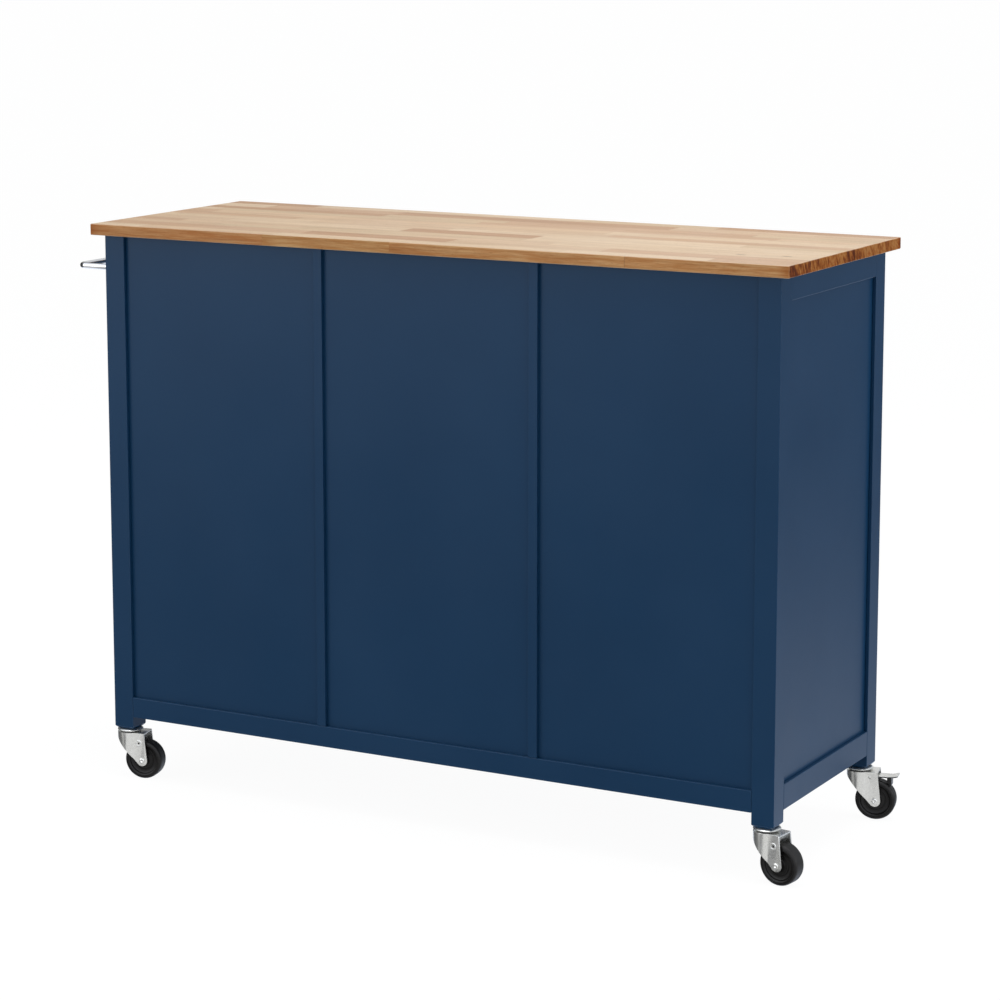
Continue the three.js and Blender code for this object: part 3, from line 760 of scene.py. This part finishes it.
stem = {        # in millimetres; each part of the profile is placed by one of its ends
    "foot": ((0, 0), (5.8, 0), (6.8, 0.5), (6.9, 1.2), (6.4, 1.8), (4, 1.8)),
    "flange": (        # down from its top face
        (4, -3.3), (18.6, -3.3), (20.3, -3.1), (20.95, -2.5), (20.9, -1.9),
        (20.2, -1.1), (19.0, -0.5), (17.4, -0.1), (15.5, 0), (5.5, 0),
    ),
    "tip": ((5.5, -2), (3.6, 0), (0, 0)),
    "legGap": 0.3,        # between the flange and the foot of the leg
    "steps": 56,
}

fork = {
    "ease": 0.7 * mm,
    "easeFrom": 42,        # degrees; the rolled nose stays as it is
    "crease": 24,
    "half": 17.0,
    "top": 77.5,
    "paintedShadeRise": 0.05,        # from this far over the fork's top, the bearing race is black as painted shade in the gap under the flange
    "markBack": 21.0,        # a plain dot in a plain ring on the rear forks' cheeks; the ring is lightened as a painted highlight, the dot is black as painted shade
    "markDrop": 16.8,
    "paintedShadeDot": ((0, 0.25), (1.5, 0.2), (1.9, -0.2), (0, -0.2)),
    "paintedShadeDotSteps": 20,
    "ring": ((3.2, -0.2), (3.5, 0.96), (3.8, 1.2), (4.7, 1.2), (5.1, 0.84), (5.3, -0.2), (3.2, -0.2)),
    "ringSteps": 32,
}

wheel = {        # half of the profile, in millimetres
    "half": (        # bore, hub, web and rim
        (3.4, 14.0), (7.4, 14.0), (8.6, 13.4), (9.0, 12.4), (9.6, 9.6), (10.4, 8.6), (11.6, 8.3),
        (15.2, 8.3), (15.8, 9.2), (16.8, 9.2), (17.4, 8.3), (21.2, 8.3), (22.4, 8.8), (23.4, 10.6),
        (24.4, 11.5), (25.6, 11.8), (26.0, 11.3), (26.6, 11.3), (27.0, 11.8),
    ),
    "shoulder": (        # in from the tread
        (-3.2, 11.7), (-1.8, 11.1), (-0.7, 9.9), (-0.1, 8.0), (0, 6.0), (0, 3.0),
    ),
    "treadDepth": 1.0,
    "steps": 72,
}

axle = {
    "outer": 19.05,        # the riveted dome's height is counted from here
    "dome": ((0, -0.9), (1.1, -0.8), (1.9, -0.2), (2.5, 0), (3.6, -0.2), (4.4, -0.8)),
    "shank": ((4.55, 17.3), (3, 17.3)),
    "steps": 32,
}

pedal = {
    "ease": 0.4 * mm,
    "easeFrom": 30,
    "leverDepth": 5.4 * mm,        # below this the pedal is the rubber shoe
}


def casterPlace(corner):        # swivel axis on Z, wheel trailing along +X
    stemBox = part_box("caster_stem_" + corner)
    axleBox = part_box("caster_axle_" + corner)
    centre = (stemBox[0] + stemBox[1]) / 2
    trail = (axleBox[0] + axleBox[1]) / 2 - centre
    angle = math.atan2(trail.y, trail.x)
    reach = math.hypot(trail.x, trail.y) / mm
    return Matrix.Translation((centre.x, centre.y, 0)) @ Matrix.Rotation(angle, 4, "Z"), reach


def makeStem(corner):
    low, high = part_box("caster_stem_" + corner)
    place, _ = casterPlace(corner)
    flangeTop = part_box("leg_" + corner)[0].z / mm - stem["legGap"]
    profile = raised(stem["foot"], low.z / mm)
    profile += raised(stem["flange"], flangeTop)
    profile += raised(stem["tip"], high.z / mm)
    shape = moved(turned(profile, stem["steps"]), place)
    finishPiece("caster_stem_turned_" + corner, shape, "root", "zinc_steel", ["caster_stem_" + corner])


def forkMark(side):
    # the dot takes the second, black material as painted shade
    paintedShadeDot = turned(fork["paintedShadeDot"], fork["paintedShadeDotSteps"])
    for face in paintedShadeDot.faces:
        face.material_index = 1
    # the ring's faces are flagged as edges so that the metal's lighter edge tone paints a highlight on them
    ring = turned(fork["ring"], fork["ringSteps"])
    wearAndHighlight = ring.faces.layers.float.new("edge")
    for face in ring.faces:
        face[wearAndHighlight] = 1.0
    height = (fork["top"] - fork["markDrop"]) * mm
    seat = Matrix.Translation((fork["markBack"] * mm, side * fork["half"] * mm, height))
    return moved(gather([ring, paintedShadeDot]), seat @ Matrix.Rotation(math.radians(-90 * side), 4, "X"))


def makeFork(corner):
    node = "caster_fork_" + corner
    shape = easeEdges(mergedCopy(node), fork["ease"], 2, fork["easeFrom"])
    paintedShadeFrom = (fork["top"] + fork["paintedShadeRise"]) * mm
    # the race's faces take the black material as painted shade
    for face in shape.faces:
        face.material_index = 1 if face.calc_center_median().z > paintedShadeFrom else 0
    place, _ = casterPlace(corner)
    parts = [shape]
    if corner.startswith("rear"):
        parts += [moved(forkMark(side), place) for side in (-1, 1)]
    finishPiece(node + "_pressed", gather(parts), "fork_" + corner, "zinc_steel", [node], [blackPlastic],
                fork["crease"])


def crosswise(place, reach, height):        # turns a spun shape so that it lies on the wheel's axis
    seat = Matrix.Translation((reach * mm, 0, height * mm))
    return place @ seat @ Matrix.Rotation(math.radians(-90), 4, "X")


def makeWheel(corner):
    node = "caster_wheel_" + corner
    place, reach = casterPlace(corner)
    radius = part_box(node)[1].z / mm / 2
    half = [*wheel["half"], *[(radius + inset, y) for inset, y in wheel["shoulder"]]]
    shape = turned([*mirroredDown(half), half[0]], wheel["steps"])
    tread = shape.faces.layers.float.new("tread")
    shape.faces.layers.float.new("edge")
    for face in shape.faces:
        centre = face.calc_center_median()
        outside = math.hypot(centre.x, centre.y) > (radius - wheel["treadDepth"]) * mm
        face[tread] = 1.0 if outside else 0.0
    shape = moved(shape, crosswise(place, reach, radius))
    finishPiece(node + "_moulded", shape, "wheel_" + corner, "wheel_rubber", [node])


def makeAxle(corner):
    node = "caster_axle_" + corner
    place, reach = casterPlace(corner)
    low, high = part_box(node)
    half = [*raised(axle["dome"], axle["outer"]), *axle["shank"]]
    shape = turned(mirroredDown(half), axle["steps"])
    shape = moved(shape, crosswise(place, reach, (low.z + high.z) / 2 / mm))
    finishPiece(node + "_riveted", shape, "fork_" + corner, "zinc_steel", [node])


def makePedal(corner):
    node = "brake_pedal_" + corner
    shape = easeEdges(mergedCopy(node), pedal["ease"], 2, pedal["easeFrom"])
    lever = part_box(node)[1].z - pedal["leverDepth"]
    for face in shape.faces:
        face.material_index = 1 if face.calc_center_median().z < lever else 0
    finishPiece(node + "_pressed", shape, "pedal_" + corner, "zinc_steel", [node], [blackPlastic])


for corner in corners:
    makeStem(corner)
    makeFork(corner)
    makeWheel(corner)
    makeAxle(corner)
    if corner.startswith("front"):
        makePedal(corner)
print("casters made")

catch = {
    "width": 46 * mm,
    "depth": 13 * mm,
    "height": 11 * mm,
    "ease": 1.0 * mm,
    "fromEdge": 34 * mm,
    "gap": 0.3 * mm,
    "poleShift": 9 * mm,
    "poleHalf": 5 * mm,
    "poleOut": 1.2 * mm,
    "poleDepth": 2 * mm,
    "poleFrom": 8 * mm,        # below the deck
    "poleTo": 4 * mm,
    "poleEase": 0.3 * mm,
    "plate": 0.8 * mm,
    "plateHalf": 17 * mm,
    "plateFrom": 13 * mm,        # below the door's top
    "plateTo": 1 * mm,
    "plateEase": 0.25 * mm,
}


def makeCatch(side):
    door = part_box("door_" + side)
    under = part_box("drawer_deck")[0].z
    inward = 1 if side == "left" else -1
    free = door[1].x if side == "left" else door[0].x
    x = free - inward * (catch["fromEdge"] + catch["width"] / 2)
    back, top = door[1].y, door[1].z
    near = back + catch["plate"] + catch["gap"]
    half = catch["width"] / 2
    body = box((x - half, near + catch["poleOut"], under - catch["height"]),
               (x + half, near + catch["depth"], under), catch["ease"])
    poles = []
    for shift in (-catch["poleShift"], catch["poleShift"]):
        low = (x + shift - catch["poleHalf"], near, under - catch["poleFrom"])
        high = (x + shift + catch["poleHalf"], near + catch["poleDepth"], under - catch["poleTo"])
        poles.append(box(low, high, catch["poleEase"]))
    piece = finishPiece("door_catch_" + side, gather([body]), "root", "wheel_rubber")
    piece.data.materials[0] = blackPlastic
    finishPiece("catch_poles_" + side, gather(poles), "root", "zinc_steel")
    strike = box((x - catch["plateHalf"], back, top - catch["plateFrom"]),
                 (x + catch["plateHalf"], back + catch["plate"], top - catch["plateTo"]), catch["plateEase"])
    finishPiece("catch_strike_" + side, strike, "door_" + side, "zinc_steel")


for side in ("left", "right"):
    makeCatch(side)
print("catches made")

studio = {
    "floorSize": 60.0,
    "floorTone": (0.70, 0.70, 0.70),
    "floorFleck": (0.74, 0.74, 0.74),
    "seen": 0.88,          # how far the floor that the camera sees is lifted to plain white
    "lift": 1.08,
    "skyHigh": (0.48, 0.49, 0.50, 1),
    "backHigh": (1.48, 1.52, 1.64, 1),        # what gloss and metal show: bright walls, and a darker floor
    "frontHigh": (
        (0.30, (0.55, 0.60, 0.68)), (0.60, (0.85, 0.85, 0.86)),
        (0.72, (0.80, 0.80, 0.81)), (0.79, (0.30, 0.30, 0.30)),
    ),
    "frontNear": (1.20, 1.30, 1.50, 1),
    "frontFar": (0.06, 0.06, 0.065, 1),
    "backLow": (
        (0.55, (0.78, 0.78, 0.79)), (0.64, (0.10, 0.10, 0.105)),
        (0.80, (0.10, 0.10, 0.105)), (0.82, (0.70, 0.70, 0.70)),
    ),
    "turnsBack": (-0.4, 0.3),        # where the front wall fades into the back wall
    "nearFloor": (-0.32, -0.21),
    "horizon": (-0.15, 0.0),
    "flagAt": (0.68, 0.84),
    "flag": 0.95,          # a dark screen off to the bar's side
    "flagTone": (0.02, 0.02, 0.02, 1),
}

lights = {
    "overhead": {"place": (-0.5, 0.2, 3.4), "aim": (-0.3, 0, 0.6), "size": (2.6, 2.0), "power": 50},
    "side": {"place": (-3.6, -0.4, 1.0), "aim": (-0.5, 0, 0.4), "size": (1.8, 1.8), "power": 24},
    "back": {"place": (3.5, 4.5, 1.7), "aim": (0, 0, 0.7), "size": (4.6, 2.8), "power": 62},
}


def makeFloor(values):
    shape = bmesh.new()
    bmesh.ops.create_grid(shape, x_segments=2, y_segments=2, size=values["floorSize"])
    mesh = bpy.data.meshes.new("floor")
    shape.to_mesh(mesh)
    shape.free()
    floor = bpy.data.objects.new("floor", mesh)
    bpy.context.scene.collection.objects.link(floor)
    floor.visible_glossy = False
    material = bpy.data.materials.new("paleFloor")
    material.use_nodes = True
    tree = material.node_tree
    tree.nodes.clear()
    place = objectPlace(tree)
    flecks = noise(tree, place, 30.0, 3.0, 0.5)
    tone = blendColour(tree, flecks, (*values["floorTone"], 1), (*values["floorFleck"], 1))
    matt = addNode(tree, "BsdfDiffuse", {"Color": tone}).outputs[0]
    white = addNode(tree, "Emission", {"Color": (1, 1, 1, 1), "Strength": values["lift"]}).outputs[0]
    seen = addNode(tree, "LightPath").outputs["Is Camera Ray"]
    mix = addNode(tree, "MixShader", {0: maths(tree, "MULTIPLY", seen, values["seen"]), 1: matt, 2: white})
    output = addNode(tree, "OutputMaterial", {0: mix.outputs[0]})
    output.is_active_output = True
    mesh.materials.append(material)


def makeSky(values):
    world = bpy.data.worlds.new("studio")
    bpy.context.scene.world = world
    world.use_nodes = True
    tree = world.node_tree
    tree.nodes.clear()
    way = addNode(tree, "SeparateXYZ", {0: addNode(tree, "TexCoord").outputs["Generated"]}).outputs
    behind = spread(tree, way["Y"], *values["turnsBack"], 0.0, 1.0)
    near = spread(tree, way["Z"], *values["nearFloor"], 0.0, 1.0)
    front = blendColour(tree, near, values["frontNear"], values["frontFar"])
    fromLeft = spread(tree, way["X"], -1.0, 1.0, 0.0, 1.0)
    low = blendColour(tree, behind, front, colourRamp(tree, fromLeft, values["backLow"]))
    high = blendColour(tree, behind, colourRamp(tree, fromLeft, values["frontHigh"]), values["backHigh"])
    mirrored = blendColour(tree, spread(tree, way["Z"], *values["horizon"], 0.0, 1.0), low, high)
    dark = spread(tree, way["X"], *values["flagAt"], 0.0, values["flag"])
    mirrored = blendColour(tree, dark, mirrored, values["flagTone"])
    rays = addNode(tree, "LightPath").outputs
    tone = blendColour(tree, rays["Is Glossy Ray"], values["skyHigh"], mirrored)
    soft = addNode(tree, "Background", {"Color": tone}).outputs[0]
    white = addNode(tree, "Background", {"Color": (1, 1, 1, 1), "Strength": values["lift"]}).outputs[0]
    mix = addNode(tree, "MixShader", {0: rays["Is Camera Ray"], 1: soft, 2: white})
    addNode(tree, "OutputWorld", {0: mix.outputs[0]})


def addLight(name, values):
    data = bpy.data.lights.new(name, "AREA")
    data.shape = "RECTANGLE"
    data.size, data.size_y = values["size"]
    data.energy = values["power"]
    lamp = bpy.data.objects.new(name, data)
    place = Vector(values["place"])
    lamp.location = place
    lamp.rotation_euler = (Vector(values["aim"]) - place).to_track_quat("-Z", "Y").to_euler()
    bpy.context.scene.collection.objects.link(lamp)


makeFloor(studio)
makeSky(studio)
for lightName, lightValues in lights.items():
    addLight(lightName, lightValues)
bpy.context.scene.view_settings.view_transform = "Standard"
print("studio lit")
